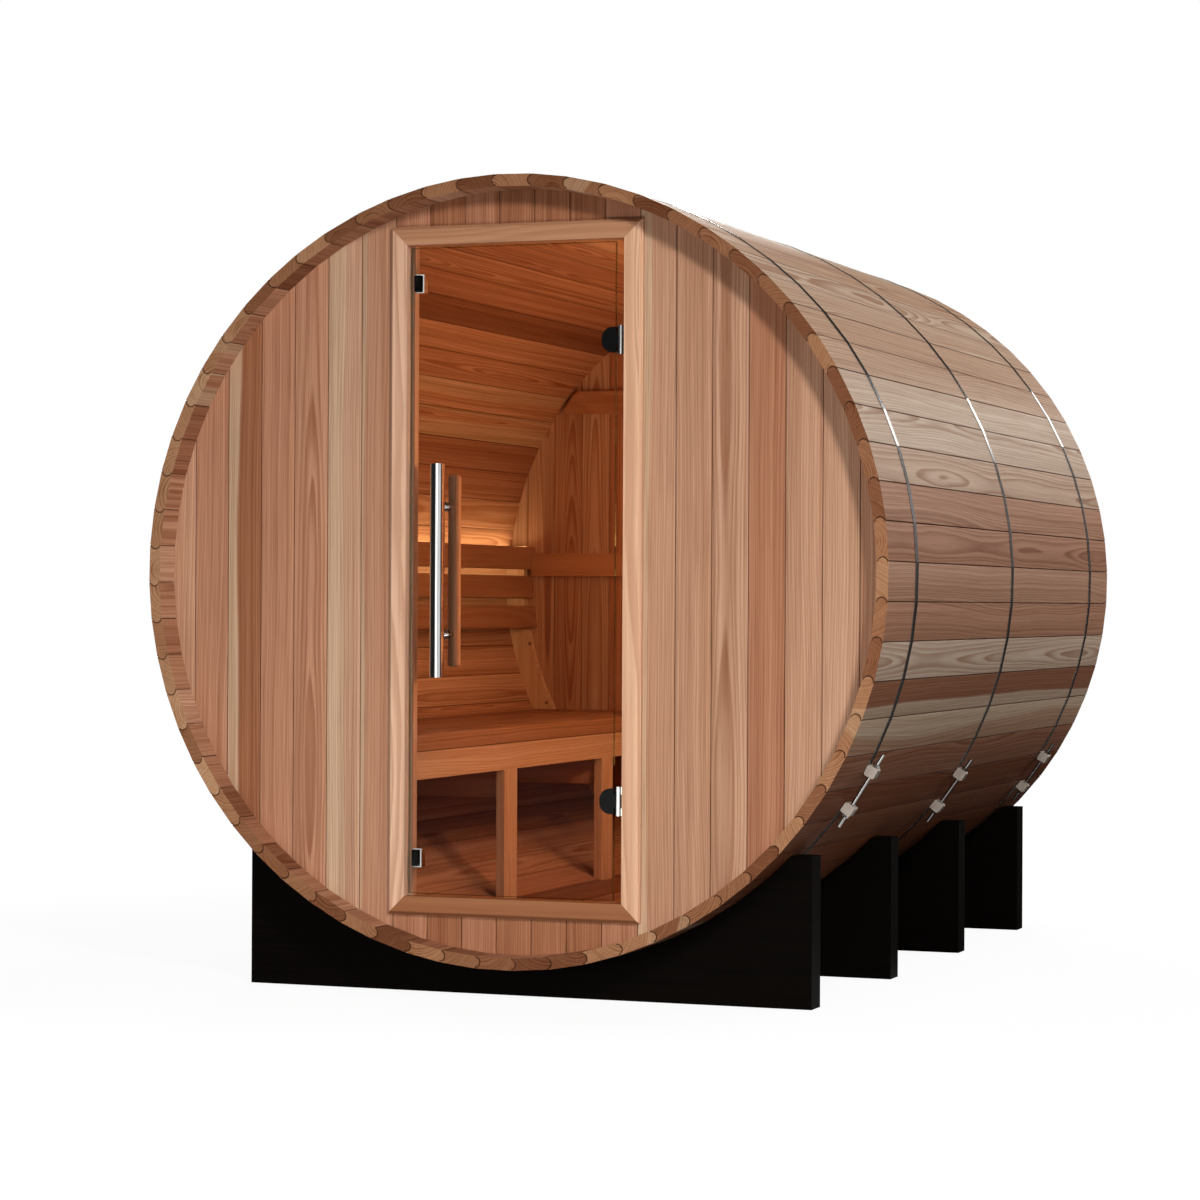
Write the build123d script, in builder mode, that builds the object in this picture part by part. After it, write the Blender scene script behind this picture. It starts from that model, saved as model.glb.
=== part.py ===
# Barrel sauna: a round cabin of bead-and-cove staves held by steel bands,
# with a recessed board wall at each end, a glass door and four cradles.
# Millimetres. X is across the door, Y runs from the door to the back, Z is up.
# The origin lies on the ground under the middle of the barrel.

import math
import os

from build123d import *

os.makedirs("parts", exist_ok=True)

# Barrel shell
barrel_radius = 906.0
barrel_length = 2300.0
stave_count = 64
staves_per_panel = 8
stave_thickness = 28.0
stave_first_angle = 1.6
stave_gap = 0.4
stave_arris = 1.5
bead_chord = 22.0
bead_rise = 9.0
bead_flats = 5
seat_gap = 0.2

# End walls, let into a groove round the inside of the staves
wall_thickness = 28.0
wall_recess = 72.0
croze_depth = 10.0

# Doorway, its lining with a stop behind the glass, and its mitred casing
opening_width_share = 0.2958
opening_height_share = 0.8317
opening_rise = 3.5
jamb_thickness = 34.0
jamb_depth = 34.0
stop_width = 10.0
stop_depth = 23.0
casing_width = 43.0
casing_thickness = 15.0
casing_bevel = 7.0

# Glass door
glass_thickness = 8.0
glass_setback = 69.0
glass_margin = 6.0
hinge_side_margin = 24.0
pivot_margin = 13.0

# Door hinges
hinge_spread_share = 0.6942
hinge_rise = 4.6
knuckle_radius = 8.0
knuckle_height = 66.0
knuckle_middle = 30.0
knuckle_gap = 0.4
pin_radius = 4.0
pin_clearance = 0.08
clamp_width = 34.5
clamp_height = 58.0
clamp_plate = 3.5
clamp_reach = 9.5
clamp_corner = 26.0
clamp_edge = 1.5
hinge_plate = 3.0
hinge_plate_depth = 14.0

# Door catches on the latch side
catch_width = 22.0
catch_height = 43.0
catch_spread_share = 0.8845
catch_clear = 7.0
strike_width = 16.0
strike_height = 38.0
strike_thickness = 1.5

# Door handle
handle_margin = 94.7
tube_radius = 17.0
tube_wall = 2.0
tube_length = 491.0
tube_plug = 6.0
grip_radius = 15.0
grip_length = 446.0
grip_round = 4.0
handle_reach = 47.0
handle_rise = 3.6
standoff_spread = 295.0
standoff_radius = 6.0
collar_radius = 11.0
collar_height = 4.0

# Bands and their tensioners
band_width = 22.0
band_thickness = 1.2
band_margin = 235.0
tension_angles = (-32.2, -35.7, -35.3)
tension_half_angle = 3.15
block_size = 26.0
block_edge = 3.0
rod_radius = 4.0
rod_length = 195.0
nut_across_flats = 13.0
nut_height = 6.5

# Cradles
cradle_count = 4
cradle_width_share = 0.768
cradle_top_share = 0.7
cradle_base = 71.0
cradle_thickness = 66.0
cradle_margin = 163.0

# Bench along the left side
bench_drop_share = 0.4238
bench_front_share = 0.3344
seat_board_count = 5
seat_board_gap = 6.0
seat_back_gap = 5.0
seat_thickness = 38.0
seat_edge = 3.0
fascia_height = 68.0
fascia_thickness = 28.0
leg_width = 85.0
leg_thickness = 22.0
leg_count = 2
bearer_height = 140.0
bearer_thickness = 28.0
cleat_height = 66.0

# Backrest along the left side, with a light strip behind its top slat
slat_width = 67.0
slat_thickness = 20.0
slat_edge = 3.0
slat_angles = (175.5, 181.6, 187.9)
support_depth = 56.0
support_thickness = 28.0
support_top_share = 0.11
light_width = 12.0
light_thickness = 8.0
light_inset = 8.0

# Battens across the back wall
batten_height = 67.0
batten_thickness = 20.0
upper_batten_share = 0.579
middle_batten_share = 0.049
batten_end_gap = 15.0

# Derived places
half_length = barrel_length / 2
axis_height = barrel_radius + cradle_base
stave_pitch = 360.0 / stave_count
panel_count = stave_count // staves_per_panel
panel_sweep = stave_pitch * staves_per_panel
half_pitch = math.radians(stave_pitch / 2)
inner_apothem = barrel_radius * math.cos(half_pitch) - stave_thickness
stave_inner_corner = barrel_radius - stave_thickness / math.cos(half_pitch)
bead_middle = (barrel_radius + stave_inner_corner) / 2
bead_half = bead_chord / 2
seat_radius = inner_apothem - seat_gap
croze_radius = barrel_radius - stave_thickness + croze_depth
wall_radius = croze_radius - seat_gap
front_wall_front = -half_length + wall_recess
front_wall_back = front_wall_front + wall_thickness
back_wall_front = -front_wall_back
inside_length = back_wall_front - front_wall_back

opening_width = 2 * barrel_radius * opening_width_share
opening_height = 2 * barrel_radius * opening_height_share
hinge_spread = opening_height * hinge_spread_share
catch_spread = opening_height * catch_spread_share
door_height = axis_height + opening_rise
half_opening = opening_width / 2
half_rise = opening_height / 2
rough_half = half_opening + jamb_thickness
rough_rise = half_rise + jamb_thickness
casing_half = half_opening + casing_width
casing_rise = half_rise + casing_width
jamb_back = front_wall_front + jamb_depth
stop_front = jamb_back - stop_depth

glass_front = -half_length + glass_setback
glass_back = glass_front + glass_thickness
glass_middle = glass_front + glass_thickness / 2
glass_left = -half_opening + glass_margin
glass_right = half_opening - hinge_side_margin
glass_width = glass_right - glass_left
glass_height = opening_height - 2 * glass_margin
pivot_x = half_opening - pivot_margin
clamp_right = pivot_x - clamp_reach
clamp_half_depth = glass_thickness / 2 + seat_gap + clamp_plate
hinge_heights = (
    axis_height + hinge_rise - hinge_spread / 2,
    axis_height + hinge_rise + hinge_spread / 2,
)
catch_heights = (
    door_height - catch_spread / 2,
    door_height + catch_spread / 2,
)

handle_x = -half_opening + handle_margin
handle_height = axis_height + handle_rise
tube_y = glass_front - handle_reach
grip_y = glass_back + handle_reach
standoff_heights = (
    handle_height - standoff_spread / 2,
    handle_height + standoff_spread / 2,
)

band_inner = barrel_radius + seat_gap
band_outer = band_inner + band_thickness
band_places = (-half_length + band_margin, 0, half_length - band_margin)
block_centre = band_outer * math.cos(half_pitch) + seat_gap + block_size / 2
cradle_pitch = (barrel_length - 2 * cradle_margin) / (cradle_count - 1)

cradle_width = 2 * barrel_radius * cradle_width_share
cradle_height = axis_height - barrel_radius * cradle_top_share

bench_drop = barrel_radius * bench_drop_share
bench_front = barrel_radius * bench_front_share
seat_top = axis_height - bench_drop
seat_bottom = seat_top - seat_thickness
seat_back = math.sqrt(inner_apothem**2 - (bench_drop + seat_thickness) ** 2) - seat_back_gap
seat_gaps = (seat_board_count - 1) * seat_board_gap
seat_board = (seat_back - bench_front - seat_gaps) / seat_board_count
fascia_top = seat_bottom - seat_gap
fascia_bottom = fascia_top - fascia_height
fascia_back = -bench_front - fascia_thickness
leg_pitch = inside_length / (leg_count + 1)
support_radius = seat_radius - support_depth
support_top = barrel_radius * support_top_share
upper_batten_rise = barrel_radius * upper_batten_share
middle_batten_rise = barrel_radius * middle_batten_share
slat_back = math.sqrt(support_radius**2 - (slat_width / 2) ** 2) - seat_gap
slat_middle = slat_back - slat_thickness / 2
slat_front = slat_back - slat_thickness

# Work planes seen from the door: local X to the right, local Y up
shell_plane = Plane(origin=(0, half_length, axis_height), x_dir=(1, 0, 0), z_dir=(0, -1, 0))
front_plane = Plane(origin=(0, front_wall_back, axis_height), x_dir=(1, 0, 0), z_dir=(0, -1, 0))
inside_plane = Plane(origin=(0, back_wall_front, axis_height), x_dir=(1, 0, 0), z_dir=(0, -1, 0))
casing_plane = Plane(origin=(0, front_wall_front, door_height), x_dir=(1, 0, 0), z_dir=(0, -1, 0))


# A point near a stave joint: r along the joint line, s square to it
def joint_point(angle, r, s):
    x = r * math.cos(angle) - s * math.sin(angle)
    y = r * math.sin(angle) + s * math.cos(angle)
    return (x, y)


# The round of a bead or cove as a few flats, because it repeats on every stave
def bead_points(angle, half_chord, rise, shift):
    radius = (half_chord**2 + rise**2) / (2 * rise)
    sweep = 2 * math.atan2(rise, half_chord)
    points = []
    for step in range(bead_flats + 1):
        turn = sweep - 2 * sweep * step / bead_flats
        r = bead_middle + radius * math.sin(turn)
        s = shift + rise - radius + radius * math.cos(turn)
        points.append(joint_point(angle, r, s))
    return points


# One stave's section, with the bead on its upper edge, the cove on its lower edge
# and the outer corners eased
half_gap = stave_gap / 2
cove_half = bead_half + half_gap
eased = barrel_radius - stave_arris
bead = bead_points(half_pitch, bead_half, bead_rise, -half_gap)
cove = bead_points(-half_pitch, cove_half, bead_rise, half_gap)
outer_face = [
    joint_point(-half_pitch, eased, half_gap),
    joint_point(-half_pitch, barrel_radius, half_gap + stave_arris),
    joint_point(half_pitch, barrel_radius, -half_gap - stave_arris),
    joint_point(half_pitch, eased, -half_gap),
]
inner_face = [
    joint_point(half_pitch, stave_inner_corner, -half_gap),
    joint_point(-half_pitch, stave_inner_corner, half_gap),
]
with BuildSketch() as stave_section:
    with BuildLine():
        Polyline(*outer_face, *bead, *inner_face, *reversed(cove), close=True)
    make_face()

# Staves in panels, each with the groove that holds the end walls
for panel in range(panel_count):
    start = stave_first_angle + stave_pitch / 2 + panel * panel_sweep
    with BuildPart() as stave_panel:
        with BuildSketch(shell_plane):
            with PolarLocations(0, staves_per_panel, start_angle=start, angular_range=panel_sweep):
                add(stave_section.sketch)
        extrude(amount=barrel_length)
        for wall_front in (front_wall_front, back_wall_front):
            groove_back = wall_front + wall_thickness + seat_gap
            groove_plane = Plane(
                origin=(0, groove_back, axis_height),
                x_dir=(1, 0, 0),
                z_dir=(0, -1, 0),
            )
            with BuildSketch(groove_plane):
                RegularPolygon(croze_radius, stave_count, major_radius=False, rotation=stave_first_angle)
            extrude(amount=wall_thickness + 2 * seat_gap, mode=Mode.SUBTRACT)
    stave_panel.part.label = f"staves_{panel + 1}"
    export_step(stave_panel.part, f"parts/staves_{panel + 1}.step")

# Front wall beside, over and under the doorway
for side, name in ((-1, "front_wall_left"), (1, "front_wall_right")):
    with BuildPart() as front_wall_side:
        with BuildSketch(front_plane):
            Circle(wall_radius)
            with Locations((side * (rough_half + seat_gap / 2 + wall_radius / 2), 0)):
                Rectangle(wall_radius, 2 * wall_radius, mode=Mode.INTERSECT)
        extrude(amount=wall_thickness)
    front_wall_side.part.label = name
    export_step(front_wall_side.part, f"parts/{name}.step")

for side, name in ((1, "front_wall_header"), (-1, "front_wall_sill")):
    edge = opening_rise + side * (rough_rise + seat_gap)
    with BuildPart() as front_wall_end:
        with BuildSketch(front_plane):
            Circle(wall_radius)
            with Locations((0, edge + side * wall_radius / 2)):
                Rectangle(2 * rough_half - seat_gap, wall_radius, mode=Mode.INTERSECT)
        extrude(amount=wall_thickness)
    front_wall_end.part.label = name
    export_step(front_wall_end.part, f"parts/{name}.step")

# Back wall, and the battens across its inside
with BuildPart() as back_wall:
    with BuildSketch(inside_plane):
        Circle(wall_radius)
    extrude(amount=-wall_thickness)
back_wall.part.label = "back_wall"
export_step(back_wall.part, "parts/back_wall.step")

with BuildPart() as back_wall_battens:
    with BuildSketch(inside_plane.offset(seat_gap)) as upper_section:
        Circle(inner_apothem - batten_end_gap)
        with Locations((0, upper_batten_rise)):
            Rectangle(2 * barrel_radius, batten_height, mode=Mode.INTERSECT)
    extrude(amount=batten_thickness)
    with BuildSketch(inside_plane.offset(seat_gap)) as middle_section:
        Circle(slat_front - seat_gap)
        with Locations((0, middle_batten_rise)):
            Rectangle(2 * barrel_radius, batten_height, mode=Mode.INTERSECT)
    extrude(amount=batten_thickness)
back_wall_battens.part.label = "back_wall_battens"
export_step(back_wall_battens.part, "parts/back_wall_battens.step")

# Door casing, mitred at the corners and bevelled round the outside
for side, outer, name in ((-1, 0, "casing_left"), (1, -1, "casing_right")):
    with BuildPart() as casing_side:
        with BuildSketch(casing_plane):
            with BuildLine():
                Polyline(
                    (side * half_opening, -half_rise),
                    (side * casing_half, -casing_rise),
                    (side * casing_half, casing_rise),
                    (side * half_opening, half_rise),
                    close=True,
                )
            make_face()
        extrude(amount=casing_thickness)
        outer_edges = casing_side.edges().filter_by(Axis.Z).group_by(Axis.X)[outer]
        chamfer(outer_edges.sort_by(Axis.Y)[0], casing_bevel)
    casing_side.part.label = name
    export_step(casing_side.part, f"parts/{name}.step")

for side, outer, name in ((1, -1, "casing_top"), (-1, 0, "casing_bottom")):
    with BuildPart() as casing_end:
        with BuildSketch(casing_plane):
            with BuildLine():
                Polyline(
                    (-half_opening + seat_gap, side * half_rise),
                    (half_opening - seat_gap, side * half_rise),
                    (casing_half - seat_gap, side * casing_rise),
                    (-casing_half + seat_gap, side * casing_rise),
                    close=True,
                )
            make_face()
        extrude(amount=casing_thickness)
        outer_edges = casing_end.edges().filter_by(Axis.X).group_by(Axis.Z)[outer]
        chamfer(outer_edges.sort_by(Axis.Y)[0], casing_bevel)
    casing_end.part.label = name
    export_step(casing_end.part, f"parts/{name}.step")

# Doorway lining, with a stop up each side that the glass closes against
lining_y = front_wall_front + jamb_depth / 2
stop_y = stop_front + stop_depth / 2
with BuildPart() as door_jamb_sides:
    for side in (-1, 1):
        with Locations((side * (half_opening + jamb_thickness / 2), lining_y, door_height)):
            Box(jamb_thickness - seat_gap, jamb_depth, 2 * rough_rise)
        stop_x = half_opening - (stop_width - seat_gap) / 2
        with Locations((side * stop_x, stop_y, door_height)):
            Box(stop_width + seat_gap, stop_depth, opening_height - 2 * seat_gap)
door_jamb_sides.part.label = "door_jamb_sides"
export_step(door_jamb_sides.part, "parts/door_jamb_sides.step")

with BuildPart() as door_jamb_ends:
    for side in (-1, 1):
        with Locations((0, lining_y, door_height + side * (half_rise + jamb_thickness / 2))):
            Box(opening_width - seat_gap, jamb_depth, jamb_thickness)
door_jamb_ends.part.label = "door_jamb_ends"
export_step(door_jamb_ends.part, "parts/door_jamb_ends.step")

# Glass leaf, drilled for the handle
with BuildPart() as door_glass:
    with Locations((glass_left + glass_width / 2, glass_middle, door_height)):
        Box(glass_width, glass_thickness, glass_height)
    for height in standoff_heights:
        with Locations(Location((handle_x, glass_middle, height), (90, 0, 0))):
            Cylinder(standoff_radius + seat_gap, 2 * glass_thickness, mode=Mode.SUBTRACT)
door_glass.part.label = "door_glass"
export_step(door_glass.part, "parts/door_glass.step")

# Hinge clamps: two rounded plates on the glass, joined by a spine at the knuckle
spine_right = pivot_x - clamp_reach / 2
spine_width = spine_right - clamp_right + clamp_width / 2
with BuildPart() as hinge_clamps:
    for height in hinge_heights:
        clamp_plane = Plane(
            origin=(clamp_right - clamp_width / 2, glass_middle + clamp_half_depth, height),
            x_dir=(1, 0, 0),
            z_dir=(0, -1, 0),
        )
        with BuildSketch(clamp_plane):
            plate = Rectangle(clamp_width, clamp_height)
            fillet(plate.vertices().group_by(Axis.X)[0], clamp_corner)
        extrude(amount=2 * clamp_half_depth)
        with Locations((spine_right - spine_width / 2, glass_middle, height)):
            Box(spine_width, 2 * clamp_half_depth, knuckle_middle - 2 * knuckle_gap)
        with Locations((glass_left + glass_width / 2 + seat_gap, glass_middle, height)):
            Box(glass_width, glass_thickness + 2 * seat_gap, 2 * clamp_height, mode=Mode.SUBTRACT)
        with Locations((pivot_x, glass_middle, height)):
            Cylinder(knuckle_radius + seat_gap, 2 * clamp_height, mode=Mode.SUBTRACT)
hinge_clamps.part.label = "hinge_clamps"
export_step(hinge_clamps.part, "parts/hinge_clamps.step")

# Door half of each hinge: the middle knuckle, bored for the pin
with BuildPart() as hinge_knuckles:
    for height in hinge_heights:
        with Locations((pivot_x, glass_middle, height)):
            Cylinder(knuckle_radius, knuckle_middle)
            Cylinder(pin_radius + pin_clearance, 2 * knuckle_middle, mode=Mode.SUBTRACT)
hinge_knuckles.part.label = "hinge_knuckles"
export_step(hinge_knuckles.part, "parts/hinge_knuckles.step")

# Jamb half of each hinge: a plate on the lining, two end knuckles and the pin
end_height = (knuckle_height - knuckle_middle) / 2 - knuckle_gap
end_offset = knuckle_height / 2 - end_height / 2
plate_x = half_opening - hinge_plate / 2
arm_width = half_opening - hinge_plate / 2 - pivot_x
with BuildPart() as hinge_brackets:
    for height in hinge_heights:
        with Locations((plate_x, glass_middle, height)):
            Box(hinge_plate, hinge_plate_depth, knuckle_height)
        with Locations((pivot_x, glass_middle, height)):
            Cylinder(pin_radius, knuckle_height)
        for side in (-1, 1):
            end_z = height + side * end_offset
            with Locations((pivot_x, glass_middle, end_z)):
                Cylinder(knuckle_radius, end_height)
            with Locations((pivot_x + arm_width / 2, glass_middle, end_z)):
                Box(arm_width, glass_thickness, end_height)
hinge_brackets.part.label = "hinge_brackets"
export_step(hinge_brackets.part, "parts/hinge_brackets.step")

# Magnet catches beside the stop, and the strike plates on the glass
catch_x = -half_opening + stop_width + seat_gap + catch_width / 2
strike_x = -half_opening + stop_width + strike_width / 2
catch_front = glass_back + catch_clear
catch_depth = jamb_back - catch_front
with BuildPart() as door_catches:
    for height in catch_heights:
        with Locations((catch_x, catch_front + catch_depth / 2, height)):
            Box(catch_width, catch_depth, catch_height)
door_catches.part.label = "door_catches"
export_step(door_catches.part, "parts/door_catches.step")

with BuildPart() as strike_plates:
    for height in catch_heights:
        with Locations((strike_x, glass_back + seat_gap + strike_thickness / 2, height)):
            Box(strike_width, strike_thickness, strike_height)
strike_plates.part.label = "strike_plates"
export_step(strike_plates.part, "parts/strike_plates.step")

# Handle: a steel tube outside, a wooden grip inside and two standoffs through the glass
with BuildPart() as handle_tube:
    with Locations((handle_x, tube_y, handle_height)):
        Cylinder(tube_radius, tube_length)
        Cylinder(tube_radius - tube_wall, 2 * tube_length, mode=Mode.SUBTRACT)
    for side in (-1, 1):
        with Locations((handle_x, tube_y, handle_height + side * (tube_length - tube_plug) / 2)):
            Cylinder(tube_radius - tube_wall - seat_gap, tube_plug)
handle_tube.part.label = "handle_tube"
export_step(handle_tube.part, "parts/handle_tube.step")

with BuildPart() as handle_grip:
    with Locations((handle_x, grip_y, handle_height)):
        Cylinder(grip_radius, grip_length)
    chamfer(handle_grip.edges().filter_by(GeomType.CIRCLE), grip_round)
handle_grip.part.label = "handle_grip"
export_step(handle_grip.part, "parts/handle_grip.step")

standoff_front = tube_y + tube_radius + seat_gap
standoff_back = grip_y - grip_radius - seat_gap
standoff_y = (standoff_front + standoff_back) / 2
with BuildPart() as handle_standoffs:
    for height in standoff_heights:
        with Locations(Location((handle_x, standoff_y, height), (90, 0, 0))):
            Cylinder(standoff_radius, standoff_back - standoff_front)
        for face_y in (glass_front - seat_gap - collar_height / 2, glass_back + seat_gap + collar_height / 2):
            with Locations(Location((handle_x, face_y, height), (90, 0, 0))):
                Cylinder(collar_radius, collar_height)
handle_standoffs.part.label = "handle_standoffs"
export_step(handle_standoffs.part, "parts/handle_standoffs.step")

# Steel bands, open between the two blocks of their tensioner
gap_reach = 2 * barrel_radius
with BuildPart() as bands:
    for place, angle in zip(band_places, tension_angles):
        band_plane = Plane(
            origin=(0, place + band_width / 2, axis_height),
            x_dir=(1, 0, 0),
            z_dir=(0, -1, 0),
        )
        low = math.radians(angle - tension_half_angle)
        high = math.radians(angle + tension_half_angle)
        with BuildSketch(band_plane):
            RegularPolygon(band_outer, stave_count, rotation=stave_first_angle)
            RegularPolygon(band_inner, stave_count, rotation=stave_first_angle, mode=Mode.SUBTRACT)
            with BuildLine():
                Polyline(
                    (0, 0),
                    (gap_reach * math.cos(low), gap_reach * math.sin(low)),
                    (gap_reach * math.cos(high), gap_reach * math.sin(high)),
                    close=True,
                )
            make_face(mode=Mode.SUBTRACT)
        extrude(amount=band_width)
bands.part.label = "bands"
export_step(bands.part, "parts/bands.step")


# A place on the outside of the barrel: local X along the radius, local Y along the joint
def barrel_place(angle, y, radius):
    x = radius * math.cos(math.radians(angle))
    z = axis_height + radius * math.sin(math.radians(angle))
    return Location((x, y, z), (0, -angle, 0))


with BuildPart() as tensioner_blocks:
    for place, angle in zip(band_places, tension_angles):
        for side in (-1, 1):
            with Locations(barrel_place(angle + side * tension_half_angle, place, block_centre)):
                Box(block_size, block_size, block_size)
    chamfer(tensioner_blocks.edges().filter_by(Axis.Y), block_edge)
    for place, angle in zip(band_places, tension_angles):
        with Locations(barrel_place(angle, place, block_centre)):
            Cylinder(rod_radius + seat_gap, 2 * rod_length, mode=Mode.SUBTRACT)
        seat_plane = Plane(
            origin=(0, place + block_size, axis_height),
            x_dir=(1, 0, 0),
            z_dir=(0, -1, 0),
        )
        with BuildSketch(seat_plane):
            RegularPolygon(band_outer + seat_gap, stave_count, rotation=stave_first_angle)
        extrude(amount=2 * block_size, mode=Mode.SUBTRACT)
tensioner_blocks.part.label = "tensioner_blocks"
export_step(tensioner_blocks.part, "parts/tensioner_blocks.step")

nut_lean = block_size / 2 * math.tan(math.radians(tension_half_angle))
nut_offset = block_centre * math.sin(math.radians(tension_half_angle))
nut_offset = nut_offset + block_size / 2 + nut_lean + nut_height / 2
with BuildPart() as tensioner_rods:
    for place, angle in zip(band_places, tension_angles):
        with Locations(barrel_place(angle, place, block_centre)):
            Cylinder(rod_radius, rod_length)
        for side in (-1, 1):
            nut_place = barrel_place(angle, place, block_centre) * Location((0, 0, side * nut_offset))
            with BuildSketch(Plane(nut_place)):
                RegularPolygon(nut_across_flats / 2, 6, major_radius=False)
            extrude(amount=nut_height / 2, both=True)
tensioner_rods.part.label = "tensioner_rods"
export_step(tensioner_rods.part, "parts/tensioner_rods.step")

# Cradles under the barrel
for index in range(cradle_count):
    cradle_y = -half_length + cradle_margin + index * cradle_pitch
    cradle_plane = Plane(
        origin=(0, cradle_y + cradle_thickness / 2, axis_height),
        x_dir=(1, 0, 0),
        z_dir=(0, -1, 0),
    )
    with BuildPart() as cradle:
        with BuildSketch(cradle_plane):
            with Locations((0, cradle_height / 2 - axis_height)):
                Rectangle(cradle_width, cradle_height)
            Circle(barrel_radius + seat_gap, mode=Mode.SUBTRACT)
        extrude(amount=cradle_thickness)
    cradle.part.label = f"cradle_{index + 1}"
    export_step(cradle.part, f"parts/cradle_{index + 1}.step")

# Bench seat boards and fascia
bench_length = inside_length - 2 * seat_gap
with BuildPart() as bench_seat:
    for index in range(seat_board_count):
        board_x = -bench_front - seat_board / 2 - index * (seat_board + seat_board_gap)
        with Locations((board_x, 0, seat_top - seat_thickness / 2)):
            Box(seat_board, bench_length, seat_thickness)
    chamfer(bench_seat.edges().filter_by(Axis.Y).group_by(Axis.Z)[-1], seat_edge)
bench_seat.part.label = "bench_seat"
export_step(bench_seat.part, "parts/bench_seat.step")

with BuildPart() as bench_fascia:
    with Locations((-bench_front - fascia_thickness / 2, 0, fascia_top - fascia_height / 2)):
        Box(fascia_thickness, bench_length, fascia_height)
bench_fascia.part.label = "bench_fascia"
export_step(bench_fascia.part, "parts/bench_fascia.step")

# Bench legs under the fascia, cut to the round of the barrel
leg_top = fascia_bottom - seat_gap - axis_height
with BuildPart() as bench_legs:
    for index in range(leg_count):
        leg_y = front_wall_back + (index + 1) * leg_pitch
        leg_plane = Plane(
            origin=(0, leg_y + leg_width / 2, axis_height),
            x_dir=(1, 0, 0),
            z_dir=(0, -1, 0),
        )
        with BuildSketch(leg_plane):
            Circle(seat_radius)
            with Locations((-bench_front - leg_thickness / 2, leg_top - barrel_radius / 2)):
                Rectangle(leg_thickness, barrel_radius, mode=Mode.INTERSECT)
        extrude(amount=leg_width)
bench_legs.part.label = "bench_legs"
export_step(bench_legs.part, "parts/bench_legs.step")

# Bearers across the barrel behind the legs, and cleats on the end walls
bearer_top = seat_bottom - seat_gap - axis_height
bearer_front = fascia_back - seat_gap
bearers = [
    (front_wall_back + seat_gap + bearer_thickness, cleat_height),
    (back_wall_front - seat_gap, cleat_height),
]
for index in range(leg_count):
    bearer_y = front_wall_back + (index + 1) * leg_pitch + bearer_thickness / 2
    bearers.append((bearer_y, bearer_height))
with BuildPart() as bench_bearers:
    for bearer_back, height in bearers:
        bearer_plane = Plane(
            origin=(0, bearer_back, axis_height),
            x_dir=(1, 0, 0),
            z_dir=(0, -1, 0),
        )
        with BuildSketch(bearer_plane):
            Circle(seat_radius)
            with Locations((bearer_front - barrel_radius / 2, bearer_top - height / 2)):
                Rectangle(barrel_radius, height, mode=Mode.INTERSECT)
        extrude(amount=bearer_thickness)
bench_bearers.part.label = "bench_bearers"
export_step(bench_bearers.part, "parts/bench_bearers.step")

# Backrest: curved supports on the end walls, and slats along them
support_bottom = seat_top + seat_gap - axis_height
support_rise = support_top - support_bottom
support_backs = (front_wall_back + seat_gap + support_thickness, back_wall_front - seat_gap)
with BuildPart() as backrest_supports:
    for support_back in support_backs:
        support_plane = Plane(
            origin=(0, support_back, axis_height),
            x_dir=(1, 0, 0),
            z_dir=(0, -1, 0),
        )
        with BuildSketch(support_plane):
            Circle(seat_radius)
            Circle(support_radius, mode=Mode.SUBTRACT)
            with Locations((-barrel_radius / 2, support_bottom + support_rise / 2)):
                Rectangle(barrel_radius, support_rise, mode=Mode.INTERSECT)
        extrude(amount=support_thickness)
backrest_supports.part.label = "backrest_supports"
export_step(backrest_supports.part, "parts/backrest_supports.step")

with BuildPart() as backrest_slats:
    for angle in slat_angles:
        with Locations(barrel_place(angle, 0, slat_middle)):
            Box(slat_thickness, bench_length, slat_width)
    chamfer(backrest_slats.edges().filter_by(Axis.Y), slat_edge)
backrest_slats.part.label = "backrest_slats"
export_step(backrest_slats.part, "parts/backrest_slats.step")

light_length = inside_length - 2 * support_thickness - 4 * seat_gap
light_offset = slat_width / 2 - light_inset - light_width / 2
with BuildPart() as light_strip:
    with Locations(barrel_place(slat_angles[0], 0, slat_back + seat_gap + light_thickness / 2)):
        with Locations((0, 0, -light_offset)):
            Box(light_thickness, light_length, light_width)
light_strip.part.label = "light_strip"
export_step(light_strip.part, "parts/light_strip.step")
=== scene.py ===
# %% [markdown]
# # A barrel sauna in Blender
# The solids of the sauna are loaded first and never moved. They carry the sizes:
# the staves, the end walls, the glass door on its hinge, the bands and the bench.
# This lesson dresses them. Boards that a viewer reads one by one are modelled again
# with eased edges, and every surface gets a finish made of shader nodes.

# %% Load the frame
import math
import random

import bpy
from mathutils import Matrix, Vector


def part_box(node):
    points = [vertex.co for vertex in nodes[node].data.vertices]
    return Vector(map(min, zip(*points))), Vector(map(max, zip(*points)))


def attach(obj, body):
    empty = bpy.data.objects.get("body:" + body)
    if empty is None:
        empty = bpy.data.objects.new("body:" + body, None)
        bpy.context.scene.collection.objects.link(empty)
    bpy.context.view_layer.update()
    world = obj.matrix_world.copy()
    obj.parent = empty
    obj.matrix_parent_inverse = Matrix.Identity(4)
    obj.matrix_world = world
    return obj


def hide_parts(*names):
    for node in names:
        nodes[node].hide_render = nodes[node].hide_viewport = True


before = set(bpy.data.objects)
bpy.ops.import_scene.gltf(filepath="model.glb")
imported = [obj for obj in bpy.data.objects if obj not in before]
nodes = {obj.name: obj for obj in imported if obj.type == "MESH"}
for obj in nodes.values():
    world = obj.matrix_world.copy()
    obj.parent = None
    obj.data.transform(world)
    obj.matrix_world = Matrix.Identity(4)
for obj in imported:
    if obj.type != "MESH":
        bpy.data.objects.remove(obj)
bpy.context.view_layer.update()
scene = bpy.context.scene
print("nodes loaded:", len(nodes))

# %% [markdown]
# ## Sizes
# All lengths are metres in the frame of the solids: X across the door, Y from the door
# to the back, Z up. The barrel's axis lies at axis_z and its front end at front_y.

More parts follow.
